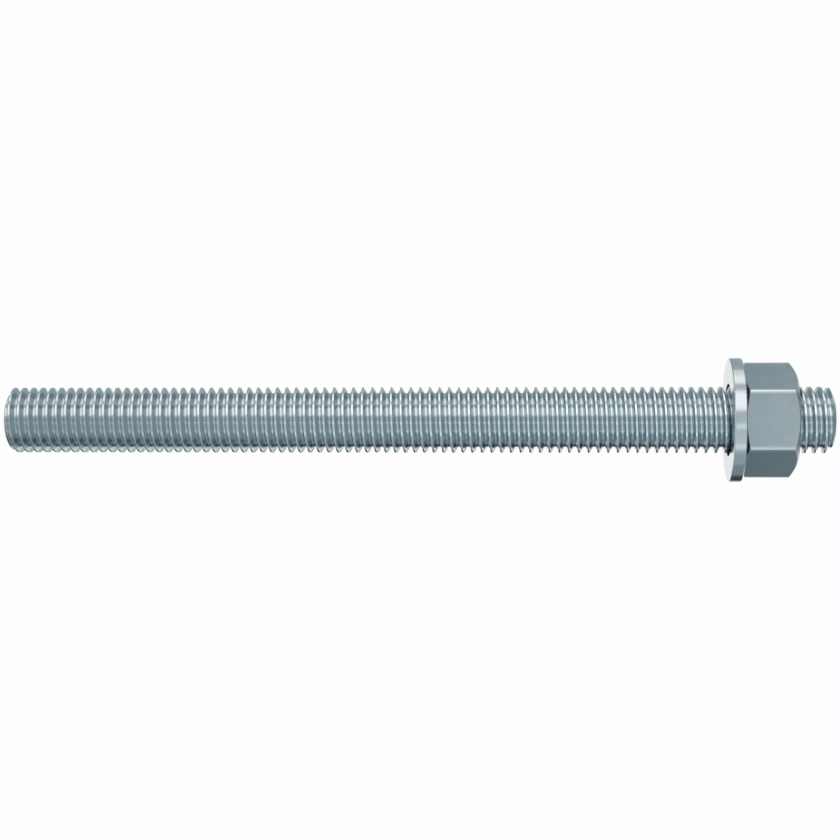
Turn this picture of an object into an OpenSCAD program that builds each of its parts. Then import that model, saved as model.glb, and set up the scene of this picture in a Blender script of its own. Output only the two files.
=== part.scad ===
// Threaded anchor rod for bonding into a drilled hole, with its plain washer and hexagon nut.
// The rod lies along X with its free end towards +X. The origin is on the rod's axis,
// in the face with which the washer bears on the fixture.

/* [Thread] */
// Diameter over the crests of the thread
thread_d = 12; // [10:0.5:14]
// Distance along the rod from one crest to the next
thread_pitch = 1.75; // [1.25:0.25:2]
// Facets round one turn of the thread
thread_sides = 15; // [12:1:16]
// Radial play between the nut's thread and the rod's
thread_play = 0.1; // [0.05:0.01:0.15]

/* [Rod] */
// Length of the rod from end to end
rod_length = 150.3; // [110:0.1:200]
// Length of thread that stands out beyond the nut
rod_projection = 6.7; // [2:0.1:20]
// Distance from the rod's free end to the first crest on its upper side
crest_offset = 0.8; // [0:0.05:1.75]
// Radial step from the bottom of the grooves down to the edge of the rod's end faces
end_relief = 0.35; // [0.05:0.05:1]
// Slope of the chamfers at the rod's ends, measured from the axis
end_chamfer_angle = 60; // [30:5:70]

/* [Washer] */
// Outer diameter of the washer
washer_d = 22.3; // [18:0.1:30]
// Thickness of the washer
washer_t = 2.2; // [1.5:0.1:3]
// Gap all round between the rod and the washer's hole
washer_gap = 0.5; // [0.3:0.05:1]
// Width of the small bevel along the washer's edges
washer_bevel = 0.15; // [0.05:0.05:0.3]

/* [Nut] */
// Width of the nut across its flats
nut_af = 18; // [17:0.5:24]
// How much the blank's turning takes off each corner of the hexagon
nut_corner_trim = 0.1; // [0.05:0.05:0.5]
// Height of the nut along the rod
nut_h = 9.6; // [6:0.1:12]
// Radial step from the nut's flats in to the ring that the chamfer leaves on each face
nut_face_inset = 0.45; // [0.1:0.05:0.8]
// Slope of the chamfer at the nut's outer face, measured from that face
nut_chamfer_angle = 30; // [15:1:45]
// Slope of the chamfer at the nut's face on the washer, measured from that face
nut_seat_chamfer_angle = 22; // [15:1:45]

/* [Hidden] */
// Form of a metric thread, as shares of the pitch
crest_share = 1 / 8;
depth_share = 0.6134;
flank_angle = 30;

thread_r = thread_d / 2;
thread_depth = depth_share * thread_pitch;
crest_flat = crest_share * thread_pitch;
root_r = thread_r - thread_depth;
root_flat = thread_pitch - crest_flat - 2 * thread_depth * tan(flank_angle);

free_end_x = washer_t + nut_h + rod_projection;
setting_end_x = free_end_x - rod_length;

// The rod is cut out of the screw by a blank that stands off the crests between its chamfers
end_r = root_r - end_relief;
blank_margin = 1;

// Whole turns from the rod's first crest to the last one on its upper side, and on past its end
turns_before = ceil((rod_length - crest_offset) / thread_pitch) + 1;
turns_after = ceil((crest_offset + crest_flat) / thread_pitch);
first_crest_x = free_end_x - crest_offset - turns_before * thread_pitch;

// The crests inside the nut stop short of the bottom of the rod's grooves
nut_crest_lift = 0.13;
// Straight facets run closer to the axis than their corners, so the nut's corners stand off
facet_growth = 1 / cos(180 / thread_sides);
nut_groove_r = (thread_r + thread_play) * facet_growth;
nut_crest_r = (root_r + nut_crest_lift + thread_play) * facet_growth;
nut_crest_flat = root_flat + 2 * nut_crest_lift * tan(flank_angle);

// The countersink at each face of the nut opens at 120 degrees
mouth_margin = 0.1;
mouth_r = nut_groove_r + mouth_margin;
mouth_slope = tan(30);
cut_past = 0.5;

curve_steps = 96;
steel = [0.62, 0.66, 0.69];
bright_steel = [0.74, 0.77, 0.79];

// One pitch of the thread's section, from the left foot of a crest to the next groove.
// Each corner is its distance along the rod from the middle of the crest, and its radius.
function thread_corners(crest_r, crest_w, groove_r, groove_w) = [
    [-crest_w / 2, crest_r],
    [crest_w / 2, crest_r],
    [(thread_pitch - groove_w) / 2, groove_r],
    [(thread_pitch + groove_w) / 2, groove_r]
];

// A point at a distance along the rod, at a radius and at an angle from the top. The angle
// grows towards -Y, the way a right-hand thread turns as it runs towards +X.
function around(x, r, angle) = [x, -r * sin(angle), r * cos(angle)];

// A solid right-hand screw along X. Its first crest is on the upper side at first_x, and it
// runs over a number of turns with ragged ends, which the piece it belongs to trims off.
module screw(corners, first_x, turns) {
    per_turn = len(corners);
    per_line = per_turn * turns;
    step = 360 / thread_sides;
    // One line of corners for each side of the screw, and a last line that closes the turn
    lines = [for (side = [0 : thread_sides - 1])
        [for (i = [0 : per_line + per_turn])
            around(
                first_x + thread_pitch * (floor(i / per_turn) + side / thread_sides) + corners[i % per_turn][0],
                corners[i % per_turn][1],
                side * step
            )]];
    line_len = per_line + per_turn + 1;
    points = concat(
        [for (line = lines) each line],
        [[first_x, 0, 0], [first_x + thread_pitch * turns, 0, 0]]
    );
    start_hub = thread_sides * line_len;
    end_hub = start_hub + 1;
    // After the last side comes the first one again, a whole turn further along
    function at(side, i) = side < thread_sides ? side * line_len + i : i + per_turn;
    flanks = [for (side = [0 : thread_sides - 1], i = [0 : per_line - 1])
        each [
            [at(side, i), at(side, i + 1), at(side + 1, i)],
            [at(side, i + 1), at(side + 1, i + 1), at(side + 1, i)]
        ]];
    // Both ends run round the screw and back along the step that one turn leaves
    function end_rim(i) = concat(
        [for (side = [0 : thread_sides]) at(side, i)],
        [for (k = [per_turn - 1 : -1 : 1]) at(0, i + k)]
    );
    function fan(rim, hub) = [for (k = [0 : len(rim) - 1])
        [hub, rim[k], rim[(k + 1) % len(rim)]]];
    start_fan = fan(end_rim(0), start_hub);
    end_fan = [for (face = fan(end_rim(per_line), end_hub)) [face[0], face[2], face[1]]];
    polyhedron(points, concat(flanks, start_fan, end_fan));
}

// A solid of revolution about X from an outline of [x, radius] points
module turned(outline) {
    rotate([90, 0, 90])
        rotate_extrude($fn = curve_steps)
            polygon([for (p = outline) [p[1], p[0]]]);
}

module threaded_rod() {
    blank_r = thread_r + blank_margin;
    chamfer = (blank_r - end_r) / tan(end_chamfer_angle);
    color(steel)
        intersection() {
            screw(
                thread_corners(thread_r, crest_flat, root_r, root_flat),
                first_crest_x,
                turns_before + turns_after
            );
            turned([
                [setting_end_x, 0],
                [setting_end_x, end_r],
                [setting_end_x + chamfer, blank_r],
                [free_end_x - chamfer, blank_r],
                [free_end_x, end_r],
                [free_end_x, 0]
            ]);
        }
}

module washer() {
    hole_r = thread_r + washer_gap;
    outer_r = washer_d / 2;
    color(bright_steel)
        turned([
            [0, hole_r],
            [0, outer_r - washer_bevel],
            [washer_bevel, outer_r],
            [washer_t - washer_bevel, outer_r],
            [washer_t, outer_r - washer_bevel],
            [washer_t, hole_r]
        ]);
}

// Hexagonal bar along X with one corner up, trimmed by a blank with a chamfer at each end
module nut_body() {
    hexagon_r = nut_af / 2 / cos(30);
    corner_r = hexagon_r - nut_corner_trim;
    face_r = nut_af / 2 - nut_face_inset;
    seat_chamfer = (corner_r - face_r) * tan(nut_seat_chamfer_angle);
    outer_chamfer = (corner_r - face_r) * tan(nut_chamfer_angle);
    intersection() {
        rotate([90, 0, 90])
            linear_extrude(nut_h)
                rotate(90)
                    circle(r = hexagon_r, $fn = 6);
        turned([
            [0, 0],
            [0, face_r],
            [seat_chamfer, corner_r],
            [nut_h - outer_chamfer, corner_r],
            [nut_h, face_r],
            [nut_h, 0]
        ]);
    }
}

// Cone that opens the thread at the nut's near face, where x is 0
module countersink() {
    turned([
        [-cut_past, 0],
        [-cut_past, mouth_r + cut_past / mouth_slope],
        [(mouth_r - root_r) * mouth_slope, root_r],
        [(mouth_r - root_r) * mouth_slope, 0]
    ]);
}

module hex_nut() {
    // The nut's grooves lie round the rod's crests, so its first one is found on the rod
    crests_below = floor((washer_t - first_crest_x) / thread_pitch) - 1;
    first_x = first_crest_x + crests_below * thread_pitch;
    turns = ceil((washer_t + nut_h + crest_flat - first_x) / thread_pitch);
    color(steel)
        difference() {
            translate([washer_t, 0, 0])
                nut_body();
            screw(
                thread_corners(nut_groove_r, crest_flat, nut_crest_r, nut_crest_flat),
                first_x,
                turns
            );
            translate([washer_t, 0, 0])
                countersink();
            translate([washer_t + nut_h, 0, 0])
                mirror([1, 0, 0])
                    countersink();
        }
}

threaded_rod();
washer();
hex_nut();
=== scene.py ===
import math

import bpy
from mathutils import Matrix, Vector


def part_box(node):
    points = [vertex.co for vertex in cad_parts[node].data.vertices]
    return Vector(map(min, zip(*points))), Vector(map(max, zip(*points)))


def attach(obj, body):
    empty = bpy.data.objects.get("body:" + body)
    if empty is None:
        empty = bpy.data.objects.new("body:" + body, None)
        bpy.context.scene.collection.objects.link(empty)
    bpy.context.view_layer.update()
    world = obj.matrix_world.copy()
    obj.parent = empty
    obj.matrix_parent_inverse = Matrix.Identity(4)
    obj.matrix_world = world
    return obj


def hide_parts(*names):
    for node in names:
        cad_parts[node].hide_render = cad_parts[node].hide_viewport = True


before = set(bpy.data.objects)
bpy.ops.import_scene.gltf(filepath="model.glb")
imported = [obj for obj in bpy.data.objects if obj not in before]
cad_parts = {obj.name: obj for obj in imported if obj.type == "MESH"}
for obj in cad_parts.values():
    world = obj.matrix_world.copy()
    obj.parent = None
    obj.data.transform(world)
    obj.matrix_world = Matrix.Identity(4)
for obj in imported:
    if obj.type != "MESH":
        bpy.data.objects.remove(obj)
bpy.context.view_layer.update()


# The camera stands level with the rod's axis, a little right of the rod's middle, and is turned
# to the left so that the whole rod lies across the picture.
camera_x = -0.0338
camera_distance = 0.3106
aim_x = -0.0557
lens_mm = 73.07
sensor_mm = 36
nearest_seen = 0.01
farthest_seen = 20

camera_data = bpy.data.cameras.new("studio_camera")
camera_data.lens = lens_mm
camera_data.sensor_width = sensor_mm
camera_data.clip_start = nearest_seen
camera_data.clip_end = farthest_seen
camera = bpy.data.objects.new("studio_camera", camera_data)
camera.location = (camera_x, -camera_distance, 0)
line_of_sight = Vector((aim_x, 0, 0)) - camera.location
camera.rotation_euler = line_of_sight.to_track_quat("-Z", "Y").to_euler()
bpy.context.scene.collection.objects.link(camera)
bpy.context.scene.camera = camera


# The studio's lights are a ring of soft lights and grey cards, which runs round the rod from
# below, past the camera and overhead to a white screen behind it, and low screens that close it
# off at both sides. All of it is far away from the rod, as light that comes from a direction.
neutral = (0.97, 1.0, 1.005)
cool = (0.86, 1.0, 1.05)
slate = (0.78, 1.0, 1.12)
rear_blue = (0.79, 1.0, 1.07)
full_light = (1, 1, 1)
background_white = (0.985, 0.985, 0.985)

# Each card or light of the ring: the angle of its lower edge, which is 0 behind the camera, 90
# overhead and 180 or -180 behind the rod, then its brightness and its tint. Neighbours blend
# into each other on both sides of that edge.
ring = [
    ("white screen, lower part", -180, 0.52, neutral),
    ("dark floor behind", -157, 0.05, slate),
    ("dark floor below", -141, 0.06, slate),
    ("floor below", -127, 0.26, slate),
    ("floor in front", -91, 0.38, slate),
    ("low card", -62, 0.50, cool),
    ("low strip light", -55, 0.87, cool),
    ("lower front card", -46, 0.62, cool),
    ("lower front gap", -26, 0.56, cool),
    ("waist strip light", -15, 0.88, cool),
    ("camera side card", -7, 0.53, cool),
    ("main softbox", 18, 1.15, neutral),
    ("gap above the softbox", 55.5, 0.53, cool),
    ("overhead softbox", 71, 1.06, neutral),
    ("overhead softbox, far half", 90, 0.84, neutral),
    ("rear card", 106, 0.42, rear_blue),
    ("white screen, upper part", 170, 0.52, neutral),
]
ring_blend_degrees = 2.5

# From here on a direction is given by x to the right, y away from the camera and z up, each from
# -1 to 1. This is the share of the ring's light that is left at each x, first for the ring's
# upper part and then for its lower part, whose cards end sooner on the left.
upper_fall = [
    (-0.98, 0.5),
    (-0.6, 0.55),
    (-0.3, 0.78),
    (-0.1, 0.97),
    (0.05, 1.0),
    (0.3, 0.9),
    (0.6, 0.6),
    (0.98, 0.5),
]
lower_fall = [
    (-0.6, 0.35),
    (-0.28, 0.36),
    (-0.14, 0.93),
    (0, 1.05),
    (0.3, 1.0),
    (0.6, 0.6),
]

# The side screens, first those in front of the rod and then those behind it: each x with the
# brightness there, and with how much of the ring is covered.
front_screens = [
    (-0.96, 1.0, 1),
    (-0.89, 0.49, 1),
    (-0.5, 0.47, 1),
    (-0.36, 0.47, 0),
    (0.42, 0.40, 0),
    (0.6, 0.39, 1),
    (0.89, 0.42, 1),
    (0.98, 0.12, 1),
]
rear_screens = [
    (-0.8, 1.0, 1),
    (-0.55, 1.0, 0),
    (0.27, 0.88, 0),
    (0.4, 0.88, 1),
    (0.5, 0.88, 1),
    (0.62, 0.38, 1),
    (0.95, 0.12, 1),
]

# Where each of these starts and where it is full: the ring's lower part, what lies behind the
# rod, the side screens, and the light that shines through the white screen straight behind
lower_part_z = (0.2, 0.02)
behind_y = (0.15, 0.45)
side_screens_z = (0.45, 0.15)
shine_through_y = (0.965, 0.992)


def place(tree, kind, sockets=None, **settings):
    """Puts a node into a node tree, sets it up, and fills or joins its input sockets."""
    made = tree.nodes.new(kind)
    for name, value in settings.items():
        setattr(made, name, value)
    for socket, value in (sockets or {}).items():
        if isinstance(value, bpy.types.NodeSocket):
            tree.links.new(value, made.inputs[socket])
        else:
            made.inputs[socket].default_value = value
    return made


def calc(tree, operation, *values):
    """The result of a math node."""
    return place(tree, "ShaderNodeMath", dict(enumerate(values)), operation=operation).outputs[0]


def fade(tree, value, start, end, full=1.0):
    """0 until a value gets to the start, and full from where it gets to the end."""
    return place(tree, "ShaderNodeMapRange", {0: value, 1: start, 2: end, 3: 0.0, 4: full}).outputs[0]


def blend_colour(tree, share, first, second):
    """The first colour at share 0 and the second at 1. Each is a socket or red, green and blue."""
    first, second = [(*end, 1) if isinstance(end, tuple) else end for end in (first, second)]
    return place(tree, "ShaderNodeMix", {0: share, 6: first, 7: second}, data_type="RGBA").outputs[2]


def tinted(level, tint, cover=1):
    """The colour of a light from its brightness and its tint, with its cover as the alpha."""
    return [level * channel for channel in tint] + [cover]


def ramp(tree, share, stops):
    """The colour of a ramp at a share, from stops given as (share, colour)."""
    made = place(tree, "ShaderNodeValToRGB", {0: share})
    elements = made.color_ramp.elements
    elements.remove(elements[-1])
    elements[0].position = stops[0][0]
    elements[0].color = stops[0][1]
    for where, colour in stops[1:]:
        elements.new(where).color = colour
    return made.outputs[0]


def ring_share(degrees):
    """An angle on the ring as a share of its ramp."""
    return (degrees + 180) / 360


world = bpy.data.worlds.new("studio_light")
bpy.context.scene.world = world
world.use_nodes = True
sky = world.node_tree
sky.nodes.clear()
towards = place(sky, "ShaderNodeTexCoord").outputs["Generated"]
x_part, y_part, z_part = place(sky, "ShaderNodeSeparateXYZ", {0: towards}).outputs
in_lower_part = fade(sky, z_part, *lower_part_z)
behind = fade(sky, y_part, *behind_y)

angle = calc(sky, "ARCTAN2", z_part, calc(sky, "MULTIPLY", y_part, -1))
angle_share = calc(sky, "MULTIPLY_ADD", angle, 1 / (2 * math.pi), 0.5)
ring_stops = []
for index, (_, edge, level, tint) in enumerate(ring):
    if index:
        ring_stops.append((ring_share(edge + ring_blend_degrees), tinted(level, tint)))
    if index + 1 < len(ring):
        next_edge = ring[index + 1][1]
        ring_stops.append((ring_share(next_edge - ring_blend_degrees), tinted(level, tint)))
ring_colour = ramp(sky, angle_share, ring_stops)
x_share = calc(sky, "MULTIPLY_ADD", x_part, 0.5, 0.5)


def side_ramp(stops, tint=full_light):
    """A ramp from left to right, from stops given as (x, level) or (x, level, cover)."""
    side_stops = [((x + 1) / 2, tinted(level, tint, *cover)) for x, level, *cover in stops]
    return ramp(sky, x_share, side_stops)


# Behind the rod the ring's lower part runs on to both sides without fading
fall_low_down = blend_colour(sky, behind, side_ramp(lower_fall), full_light)
fall = blend_colour(sky, in_lower_part, side_ramp(upper_fall), fall_low_down)
dimmed = place(sky, "ShaderNodeVectorMath", {0: ring_colour, 1: fall}, operation="MULTIPLY").outputs[0]

front_screen = side_ramp(front_screens, cool)
rear_screen = side_ramp(rear_screens, neutral)
front_cover = front_screen.node.outputs["Alpha"]
rear_cover = rear_screen.node.outputs["Alpha"]
screen_colour = blend_colour(sky, behind, front_screen, rear_screen)
cover = place(sky, "ShaderNodeMix", {0: behind, 2: front_cover, 3: rear_cover}).outputs[0]
on_screen = calc(sky, "MULTIPLY", cover, fade(sky, z_part, *side_screens_z))
with_screens = blend_colour(sky, on_screen, dimmed, screen_colour)
shine_through = fade(sky, y_part, *shine_through_y)
all_round = blend_colour(sky, shine_through, with_screens, background_white)

# The lights shine on the rod and are mirrored in it, and the camera sees plain white instead
studio_light = place(sky, "ShaderNodeBackground", {"Color": all_round}).outputs[0]
plain_white = place(sky, "ShaderNodeBackground", {"Color": (*background_white, 1)}).outputs[0]
seen_directly = place(sky, "ShaderNodeLightPath").outputs["Is Camera Ray"]
either = place(sky, "ShaderNodeMixShader", {0: seen_directly, 1: studio_light, 2: plain_white})
place(sky, "ShaderNodeOutputWorld", {0: either.outputs[0]})

bpy.context.scene.view_settings.view_transform = "Standard"


# Well below the rod stands a white table, which glows so that it is as white as the background.
# The rod is neither lit by it nor mirrors it, because the ring holds the light of the floor.
table_z = -0.09
table_half_width = 3.0
table_grey = (0.3, 0.3, 0.3, 1)
glow_white = (0.97, 0.97, 0.97, 1)
glow_strength = 0.85

table_corners = [(-1, -1), (1, -1), (1, 1), (-1, 1)]
table_mesh = bpy.data.meshes.new("studio_table")
table_mesh.from_pydata(
    [(x * table_half_width, y * table_half_width, table_z) for x, y in table_corners],
    [],
    [(0, 1, 2, 3)],
)
table = bpy.data.objects.new("studio_table", table_mesh)
bpy.context.scene.collection.objects.link(table)
table_material = bpy.data.materials.new("white_table")
table_material.use_nodes = True
table_shader = table_material.node_tree.nodes["Principled BSDF"]
table_shader.inputs["Base Color"].default_value = table_grey
table_shader.inputs["Roughness"].default_value = 1
table_shader.inputs["Specular IOR Level"].default_value = 0
table_shader.inputs["Emission Color"].default_value = glow_white
table_shader.inputs["Emission Strength"].default_value = glow_strength
table_mesh.materials.append(table_material)
table.visible_glossy = False
table.visible_diffuse = False


# The rod is a bar of medium-strength steel with a right-hand metric thread rolled over its
# whole length, cut off and chamfered at both ends, then plated with bright blue-tinted zinc.
rod_low, rod_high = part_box("threaded_rod")
thread_radius = 0.006
thread_pitch = 0.00175
depth_share = 0.6134
thread_depth = depth_share * thread_pitch
groove_radius = thread_radius - thread_depth
flank_angle = math.radians(30)
crest_flat = 0.00015
groove_flat = thread_pitch - crest_flat - 2 * thread_depth * math.tan(flank_angle)
thread_rounding = 0.0001
thread_rounding_steps = 3
steps_a_turn = 60
first_crest_from_end = 0.00055
end_relief = 0.00035
end_face_radius = groove_radius - end_relief
end_chamfer_slope = math.tan(math.radians(60))
end_rounding = 0.00012
edge_steps = 4
blank_margin = 0.001
tool_steps = 96


def rounded_outline(corners):
    """Points of an outline from its corners. A corner is (x, radius), or (x, radius, rounding,
    steps) where it is rounded off by an arc."""
    points = []
    for index, (x, radius, *round_off) in enumerate(corners):
        if not round_off:
            points.append((x, radius))
            continue
        rounding, steps = round_off
        corner = Vector((x, radius))
        back = (Vector(corners[index - 1][:2]) - corner).normalized()
        ahead = (Vector(corners[(index + 1) % len(corners)][:2]) - corner).normalized()
        half = back.angle(ahead) / 2
        middle = corner + (back + ahead).normalized() * rounding / math.sin(half)
        first = corner + back * rounding / math.tan(half) - middle
        last = corner + ahead * rounding / math.tan(half) - middle
        for step in range(steps + 1):
            points.append(tuple(middle + first.lerp(last, step / steps).normalized() * rounding))
    return points


def thread_outline(outer_radius, outer_flat, inner_radius, inner_flat):
    """One pitch of a thread with rounded corners, from the middle of an outer flat to just
    before the middle of the next one."""
    rounding = (thread_rounding, thread_rounding_steps)
    return rounded_outline(
        [
            (0, outer_radius),
            (outer_flat / 2, outer_radius, *rounding),
            ((thread_pitch - inner_flat) / 2, inner_radius, *rounding),
            ((thread_pitch + inner_flat) / 2, inner_radius, *rounding),
            (thread_pitch - outer_flat / 2, outer_radius, *rounding),
        ]
    )


def around(x, radius, degrees):
    """A point at a radius from the rod's axis. Its angle is 0 on top and grows to the front."""
    turned = math.radians(degrees)
    return (x, -radius * math.sin(turned), radius * math.cos(turned))


def solid_from(name, points, faces):
    """A new object in the scene with these points and faces."""
    mesh = bpy.data.meshes.new(name)
    mesh.from_pydata(points, [], faces)
    solid = bpy.data.objects.new(name, mesh)
    bpy.context.scene.collection.objects.link(solid)
    return solid


def screw_solid(name, outline, first_x, turns):
    """A closed right-hand screw along X whose first crest is uppermost at first_x, from the
    outline of one pitch."""
    per_turn = len(outline)
    columns = turns * steps_a_turn
    points = [
        around(first_x + thread_pitch * column / steps_a_turn + x, radius, 360 * column / steps_a_turn)
        for column in range(columns + steps_a_turn + 1)
        for x, radius in outline
    ]

    def at(column, i):
        """The number of a point. After a pitch's last one come those of a turn further on."""
        return (column + steps_a_turn * (i // per_turn)) * per_turn + i % per_turn

    faces = [
        (at(c, i), at(c + 1, i), at(c + 1, i + 1), at(c, i + 1))
        for c in range(columns)
        for i in range(per_turn)
    ]
    # A fan from the axis closes each end, round a whole turn and back along the step it leaves
    for column, turned_over in ((0, False), (columns, True)):
        rim = [at(column + s, 0) for s in range(steps_a_turn + 1)]
        rim += [at(column, i) for i in range(per_turn - 1, 0, -1)]
        hub = len(points)
        points.append((first_x + thread_pitch * column / steps_a_turn, 0, 0))
        for k, start in enumerate(rim):
            face = (hub, rim[(k + 1) % len(rim)], start)
            faces.append(face[::-1] if turned_over else face)
    return solid_from(name, points, faces)


def turned_solid(name, outline_at, angles):
    """A solid round X, from the outline at each angle. An outline that starts and ends on the
    axis makes a full disc, and any other one a ring."""
    outlines = [outline_at(angle) for angle in angles]
    full = outlines[0][0][1] == 0
    points = []
    for degrees, outline in zip(angles, outlines):
        points += [around(x, r, degrees) for x, r in (outline[1:-1] if full else outline)]
    per_angle = len(points) // len(angles)

    def at(column, i):
        """The number of a point. After the last column and the last point comes the first."""
        return (column % len(angles)) * per_angle + i % per_angle

    faces = [
        (at(c, i), at(c + 1, i), at(c + 1, i + 1), at(c, i + 1))
        for c in range(len(angles))
        for i in range(per_angle - 1 if full else per_angle)
    ]
    if full:
        for hub_x, i, turned_over in ((outlines[0][0][0], 0, False), (outlines[0][-1][0], -1, True)):
            hub = len(points)
            points.append((hub_x, 0, 0))
            for c in range(len(angles)):
                face = (hub, at(c + 1, i), at(c, i))
                faces.append(face[::-1] if turned_over else face)
    return solid_from(name, points, faces)


def full_turn(count):
    """Angles that divide a turn into equal steps."""
    return [360 * step / count for step in range(count)]


def cut(solid, tool, operation):
    """Cuts a solid with a tool, which is then thrown away."""
    step = solid.modifiers.new(operation.lower(), "BOOLEAN")
    step.operation = operation
    step.solver = "MANIFOLD"
    step.object = tool
    graph = bpy.context.evaluated_depsgraph_get()
    made = bpy.data.meshes.new_from_object(solid.evaluated_get(graph))
    solid.modifiers.clear()
    solid.data = made
    bpy.data.objects.remove(tool)


def shade(solid, sharp_from):
    """Shades a solid smooth up to edges that turn by sharp_from degrees, and its wide faces
    level."""
    solid.data.shade_smooth()
    solid.data.set_sharp_from_angle(angle=math.radians(sharp_from))
    level_faces = solid.modifiers.new("level_faces", "WEIGHTED_NORMAL")
    level_faces.keep_sharp = True


# The screw runs past both ends of the rod, and the turned blank cuts it to length
rod_length = rod_high.x - rod_low.x
turns_before = math.ceil((rod_length - first_crest_from_end) / thread_pitch) + 1
rod_first_crest = rod_high.x - first_crest_from_end - turns_before * thread_pitch
rod_outline = thread_outline(thread_radius, crest_flat, groove_radius, groove_flat)
rod = screw_solid("rod", rod_outline, rod_first_crest, turns_before + 1)
blank_radius = thread_radius + blank_margin
blank_chamfer = (blank_radius - end_face_radius) / end_chamfer_slope
blank_outline = rounded_outline(
    [
        (rod_low.x, 0),
        (rod_low.x, end_face_radius, end_rounding, edge_steps),
        (rod_low.x + blank_chamfer, blank_radius),
        (rod_high.x - blank_chamfer, blank_radius),
        (rod_high.x, end_face_radius, end_rounding, edge_steps),
        (rod_high.x, 0),
    ]
)
cut(rod, turned_solid("rod_blank", lambda degrees: blank_outline, full_turn(tool_steps)), "INTERSECT")
shade(rod, sharp_from=32)


def effect(name, inputs, output):
    """An empty node group with named sockets. Gives back the group, what comes in, and the
    socket that its result goes to."""
    group = bpy.data.node_groups.new(name, "ShaderNodeTree")
    for socket, default in inputs.items():
        kind = "NodeSocketFloat" if isinstance(default, (int, float)) else "NodeSocketVector"
        made = group.interface.new_socket(name=socket, in_out="INPUT", socket_type=kind)
        made.default_value = default
    group.interface.new_socket(name=output, in_out="OUTPUT", socket_type="NodeSocketFloat")
    coming_in = group.nodes.new("NodeGroupInput").outputs
    going_out = group.nodes.new("NodeGroupOutput").inputs
    return group, coming_in, going_out[output]


def stretched_noise(tree, spot, per_metre, detail):
    """Noise with its own number of grains per metre in each direction."""
    scaled = place(tree, "ShaderNodeVectorMath", {0: spot, 1: per_metre}, operation="MULTIPLY")
    sockets = {"Vector": scaled.outputs[0], "Scale": 1.0, "Detail": detail}
    return place(tree, "ShaderNodeTexNoise", sockets).outputs[0]


# Uneven grain: clouds where it is as fine in all directions, and streaks where it is stretched
grain_noise_low = 0.3
grain_noise_high = 0.7
grain, given, result = effect(
    "grain", {"Place": (0, 0, 0), "Grains per Metre": (1, 1, 1), "Detail": 2.0}, "Value"
)
noise = stretched_noise(grain, given["Place"], given["Grains per Metre"], given["Detail"])
grain.links.new(fade(grain, noise, grain_noise_low, grain_noise_high), result)

# How far out from the rod's axis a point lies, from 0 at one radius to 1 at the other, which
# may be the smaller one
radius_share, given, result = effect(
    "radius_share", {"Place": (0, 0, 0), "Start Radius": 0.0, "Full Radius": 0.01}, "Value"
)
_, y_part, z_part = place(radius_share, "ShaderNodeSeparateXYZ", {0: given["Place"]}).outputs
y_square = calc(radius_share, "MULTIPLY", y_part, y_part)
radius = calc(radius_share, "SQRT", calc(radius_share, "MULTIPLY_ADD", z_part, z_part, y_square))
radius_share.links.new(fade(radius_share, radius, given["Start Radius"], given["Full Radius"]), result)


def zinc(name):
    """Zinc plating that has no looks yet: the material, its node tree and the place on the
    piece."""
    material = bpy.data.materials.new(name)
    material.use_nodes = True
    tree = material.node_tree
    tree.nodes["Principled BSDF"].inputs["Metallic"].default_value = 1
    return material, tree, place(tree, "ShaderNodeTexCoord").outputs["Object"]


def apply(tree, group, **sockets):
    """The result of an effect in a material. Its sockets are named with _ for a space."""
    named = {socket.replace("_", " "): value for socket, value in sockets.items()}
    return place(tree, "ShaderNodeGroup", named, node_tree=group).outputs[0]


def roughen(tree, roughness, mask, by):
    """A roughness that is raised where a mask is, or lowered by an amount below 0."""
    return calc(tree, "MULTIPLY_ADD", mask, by, roughness)


def plate(solid, material, colour, roughness, relief, relief_height):
    """Joins the looks to a material's shader and makes it the solid's only material."""
    tree = material.node_tree
    shader = tree.nodes["Principled BSDF"]
    tree.links.new(colour, shader.inputs["Base Color"])
    tree.links.new(roughness, shader.inputs["Roughness"])
    bump = place(tree, "ShaderNodeBump", {"Strength": 1.0, "Distance": relief_height, "Height": relief})
    tree.links.new(bump.outputs[0], shader.inputs["Normal"])
    solid.data.materials.clear()
    solid.data.materials.append(material)


# Blue-tinted zinc in faint clouds, with fine lines from rolling that run round the rod. The
# crests and the bottoms of the grooves are painted lighter than the flanks, as painted highlights.
flank_dark = (0.60, 0.67, 0.70)
flank_light = (0.65, 0.72, 0.75)
# The colour of the crests and that of the groove bottoms are painted highlights
crest_painted_highlight = (0.93, 0.97, 0.985)
groove_painted_highlight = (0.75, 0.79, 0.81)
rod_roughness = 0.11
rolling_height = 0.0000008

rod_zinc, tree, spot = zinc("zinc_on_rolled_thread")
clouds = apply(tree, grain, Place=spot, Grains_per_Metre=(260, 260, 260), Detail=3.0)
rolling = apply(tree, grain, Place=spot, Grains_per_Metre=(9000, 500, 500), Detail=2.0)
crest = apply(tree, radius_share, Place=spot, Start_Radius=0.00586, Full_Radius=0.00593)
groove = apply(tree, radius_share, Place=spot, Start_Radius=0.00504, Full_Radius=0.00498)
colour = blend_colour(tree, clouds, flank_dark, flank_light)
# Painted highlights on the crests and on the bottoms of the grooves
colour = blend_colour(tree, crest, colour, crest_painted_highlight)
colour = blend_colour(tree, groove, colour, groove_painted_highlight)
roughness = roughen(tree, rod_roughness, clouds, by=0.05)
roughness = roughen(tree, roughness, rolling, by=0.04)
plate(rod, rod_zinc, colour, roughness, rolling, rolling_height)
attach(rod, "rod")
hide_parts("threaded_rod")


# The washer is punched from rolled steel strip, so its rim is sheared. It is tumbled, which
# softens its edges a little more on the nut's side, and plated with bright zinc. It sits loose
# on the rod.
washer_low, washer_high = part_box("washer")
washer_radius = -washer_low.y
washer_clearance = 0.0005
washer_hole_radius = thread_radius + washer_clearance
seat_edge = 0.0002
seat_hole_edge = 0.00012
soft_edge = 0.00022
soft_edge_steps = 6
washer_steps = 192

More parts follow.
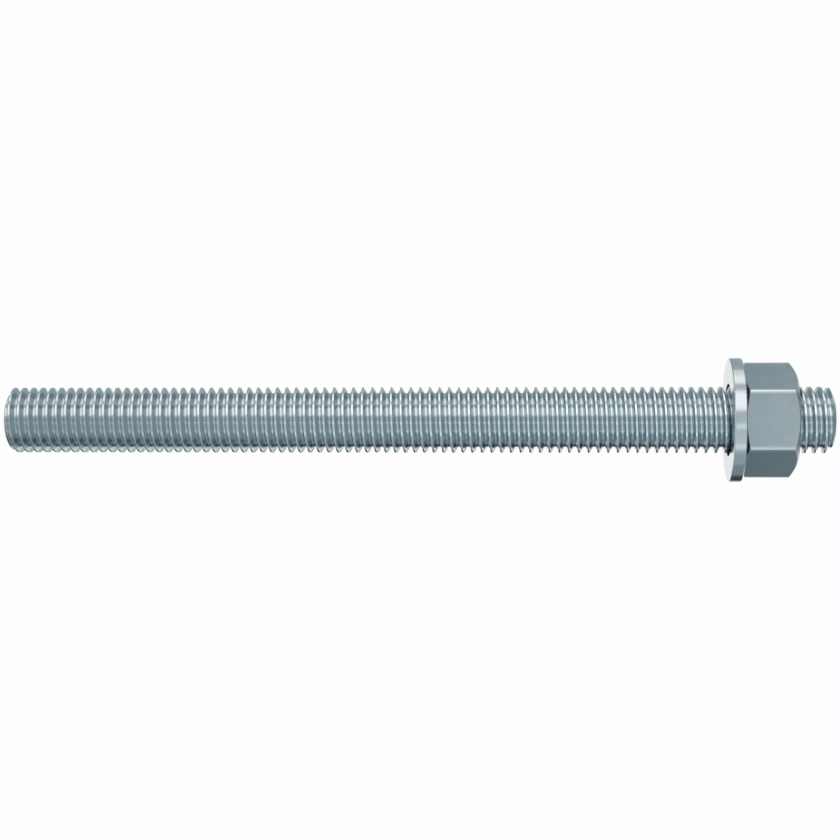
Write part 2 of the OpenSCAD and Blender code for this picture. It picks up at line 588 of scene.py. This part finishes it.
washer_outline = rounded_outline(
    [
        (washer_low.x, washer_hole_radius, seat_hole_edge, edge_steps),
        (washer_low.x, washer_radius, seat_edge, edge_steps),
        (washer_high.x, washer_radius, soft_edge, soft_edge_steps),
        (washer_high.x, washer_hole_radius, soft_edge, soft_edge_steps),
    ]
)
washer = turned_solid("plain_washer", lambda degrees: washer_outline, full_turn(washer_steps))
shade(washer, sharp_from=40)

# Handling scratches: long thin marks that lean one way, only where the noise peaks
mark_softness = 0.04
scratches, given, result = effect(
    "scratches",
    {"Place": (0, 0, 0), "Lean": (0, 0, 0), "Marks per Metre": (100, 5000, 5000), "Rarity": 0.7},
    "Mask",
)
leaning = place(
    scratches,
    "ShaderNodeVectorRotate",
    {"Vector": given["Place"], "Rotation": given["Lean"]},
    rotation_type="EULER_XYZ",
)
noise = stretched_noise(scratches, leaning.outputs[0], given["Marks per Metre"], 0.0)
full_mark = calc(scratches, "ADD", given["Rarity"], mark_softness)
scratches.links.new(fade(scratches, noise, given["Rarity"], full_mark), result)

# Bright zinc in faint clouds with a few rougher scratches, uneven as the shear leaves it, and
# darkened in and round the hole by painted shade
washer_dark = (0.74, 0.77, 0.785)
washer_light = (0.79, 0.82, 0.835)
# The colour in and round the hole is painted shade
hole_painted_shade = (0.40, 0.42, 0.43)
washer_roughness = 0.13
shear_height = 0.000004

washer_zinc, tree, spot = zinc("zinc_on_punched_washer")
clouds = apply(tree, grain, Place=spot, Grains_per_Metre=(420, 420, 420), Detail=3.0)
shear = apply(tree, grain, Place=spot, Grains_per_Metre=(260, 1500, 1500), Detail=3.0)
marks = apply(tree, scratches, Place=spot, Lean=(0.6, 0.4, 0.9), Rarity=0.66)
hole = apply(tree, radius_share, Place=spot, Start_Radius=0.0068, Full_Radius=0.00655)
colour = blend_colour(tree, clouds, washer_dark, washer_light)
# Painted shade in and round the hole
colour = blend_colour(tree, hole, colour, hole_painted_shade)
roughness = roughen(tree, washer_roughness, clouds, by=0.06)
roughness = roughen(tree, roughness, marks, by=0.1)
plate(washer, washer_zinc, colour, roughness, shear, shear_height)
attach(washer, "washer")
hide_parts("washer")


# The nut is cold-formed from steel wire: a hexagon with soft corners and a chamfer at both
# faces, bored, countersunk and tapped for the rod's thread, then plated with duller zinc.
nut_low, nut_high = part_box("hex_nut")
across_flats = 0.018
corner_rounding = 0.00038
face_inset = 0.00045
nut_face_radius = across_flats / 2 - face_inset
seat_chamfer_slope = math.tan(math.radians(22))
outer_chamfer_slope = math.tan(math.radians(30))
chamfer_rounding = 0.0001
face_rounding = 0.00015
face_rounding_steps = 3
# Each face has a second ring of points just inside its edge, which keeps its shading level
level_radius = nut_face_radius * 0.98
# Degrees from a corner of the hexagon to the columns of its mesh, closest in the rounding
from_corner = [0, 0.2, 0.4, 0.6, 0.8, 1.0, 1.2, 1.5, 3, 6, 10, 15, 20, 25, 30]
nut_angles = sorted(
    {(corner + side * a) % 360 for corner in range(0, 360, 60) for a in from_corner for side in (1, -1)}
)


def hexagon_radius(degrees):
    """Distance from the axis to the outside of the hexagon, which has a corner on top."""
    to_corner = math.radians(abs((degrees + 30) % 60 - 30))
    arc_centre = (across_flats / 2 - corner_rounding) / math.cos(math.radians(30))
    to_flat = across_flats / 2 / math.cos(math.radians(30) - to_corner)
    across_arc = corner_rounding**2 - (arc_centre * math.sin(to_corner)) ** 2
    if across_arc < 0:
        return to_flat
    to_arc = arc_centre * math.cos(to_corner) + math.sqrt(across_arc)
    return min(to_flat, to_arc)


def nut_outline(degrees):
    """The nut's outline at an angle, from the middle of its seat to that of its outer face."""
    radius = hexagon_radius(degrees)
    seat_chamfer = (radius - nut_face_radius) * seat_chamfer_slope
    outer_chamfer = (radius - nut_face_radius) * outer_chamfer_slope
    return rounded_outline(
        [
            (nut_low.x, 0),
            (nut_low.x, level_radius),
            (nut_low.x, nut_face_radius, face_rounding, face_rounding_steps),
            (nut_low.x + seat_chamfer, radius, chamfer_rounding, edge_steps),
            (nut_high.x - outer_chamfer, radius, chamfer_rounding, edge_steps),
            (nut_high.x, nut_face_radius, face_rounding, face_rounding_steps),
            (nut_high.x, level_radius),
            (nut_high.x, 0),
        ]
    )


nut = turned_solid("nut", nut_outline, nut_angles)

# The tap is a screw in step with the rod's thread, which starts at least two turns before the
# nut and ends at least one past it. It leaves some play all round the rod's thread, and the
# nut's crests stop short of the bottom of the rod's grooves.
nut_play = 0.0001
crest_lift = 0.00013
tap_radius = thread_radius + nut_play
nut_crest_radius = groove_radius + crest_lift + nut_play
nut_crest_flat = groove_flat + 2 * crest_lift * math.tan(flank_angle)
turns_to_tap = math.floor((nut_low.x - rod_first_crest) / thread_pitch) - 2
tap_first_crest = rod_first_crest + turns_to_tap * thread_pitch
tap_turns = math.ceil((nut_high.x - tap_first_crest) / thread_pitch) + 1
tap_outline = thread_outline(tap_radius, crest_flat, nut_crest_radius, nut_crest_flat)
cut(nut, screw_solid("tap", tap_outline, tap_first_crest, tap_turns), "DIFFERENCE")

# A countersink opens the thread at both faces. Its tool starts outside the nut.
countersink_slope = math.tan(math.radians(30))
mouth_margin = 0.0001
past_face = 0.0005
mouth_radius = tap_radius + mouth_margin
sink_depth = (mouth_radius - groove_radius) * countersink_slope
for face_x, inward in ((nut_low.x, 1), (nut_high.x, -1)):
    sink_outline = [
        (face_x - inward * past_face, 0),
        (face_x - inward * past_face, mouth_radius + past_face / countersink_slope),
        (face_x + inward * sink_depth, groove_radius),
        (face_x + inward * sink_depth, 0),
    ]
    sink = turned_solid("countersink", lambda degrees: sink_outline[::inward], full_turn(tool_steps))
    cut(nut, sink, "DIFFERENCE")
shade(nut, sharp_from=25)

# Duller zinc in faint clouds, with brushing round the nut and a few scratches. Painted shade
# darkens it inside the thread and towards the washer, and the hexagon's corners are smoother and
# carry a painted highlight.
nut_dark = (0.585, 0.625, 0.645)
nut_light = (0.65, 0.69, 0.71)
nut_brushed = (0.68, 0.72, 0.74)
nut_scratched = (0.84, 0.87, 0.88)
# The colour inside the thread is painted shade
nut_inside_painted_shade = (0.25, 0.27, 0.28)
# The colour towards the washer is painted shade
nut_washer_painted_shade = (0.48, 0.55, 0.58)
# The colour of the hexagon's corners is a painted highlight
nut_corner_painted_highlight = (0.92, 0.94, 0.95)
brushed_share = 0.3
scratched_share = 0.6
nut_roughness = 0.20
brushing_height = 0.0000007
# The painted shade towards the washer starts within the nut and ends just past its seat
dark_from_x = nut_low.x + 0.0070
darkest_x = nut_low.x - 0.0005
darkest_share = 0.5

nut_zinc, tree, spot = zinc("zinc_on_formed_nut")
clouds = apply(tree, grain, Place=spot, Grains_per_Metre=(300, 300, 300), Detail=3.0)
brushing = apply(tree, grain, Place=spot, Grains_per_Metre=(3000, 150, 150), Detail=3.0)
marks = apply(
    tree, scratches, Place=spot, Lean=(0.2, 0.5, 0.3), Marks_per_Metre=(300, 6000, 6000), Rarity=0.74
)
inside = apply(tree, radius_share, Place=spot, Start_Radius=0.0068, Full_Radius=0.0062)
corners = apply(tree, radius_share, Place=spot, Start_Radius=0.01008, Full_Radius=0.0102)
along = place(tree, "ShaderNodeSeparateXYZ", {0: spot}).outputs[0]
washer_shade_share = fade(tree, along, dark_from_x, darkest_x, full=darkest_share)
colour = blend_colour(tree, clouds, nut_dark, nut_light)
colour = blend_colour(tree, calc(tree, "MULTIPLY", brushing, brushed_share), colour, nut_brushed)
colour = blend_colour(tree, calc(tree, "MULTIPLY", marks, scratched_share), colour, nut_scratched)
# Painted shade inside the thread
colour = blend_colour(tree, inside, colour, nut_inside_painted_shade)
# Painted shade towards the washer
colour = blend_colour(tree, washer_shade_share, colour, nut_washer_painted_shade)
# Painted highlight on the hexagon's corners
colour = blend_colour(tree, corners, colour, nut_corner_painted_highlight)
roughness = roughen(tree, nut_roughness, clouds, by=0.05)
roughness = roughen(tree, roughness, brushing, by=0.06)
roughness = roughen(tree, roughness, corners, by=-0.10)
plate(nut, nut_zinc, colour, roughness, brushing, brushing_height)
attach(nut, "nut")
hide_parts("hex_nut")
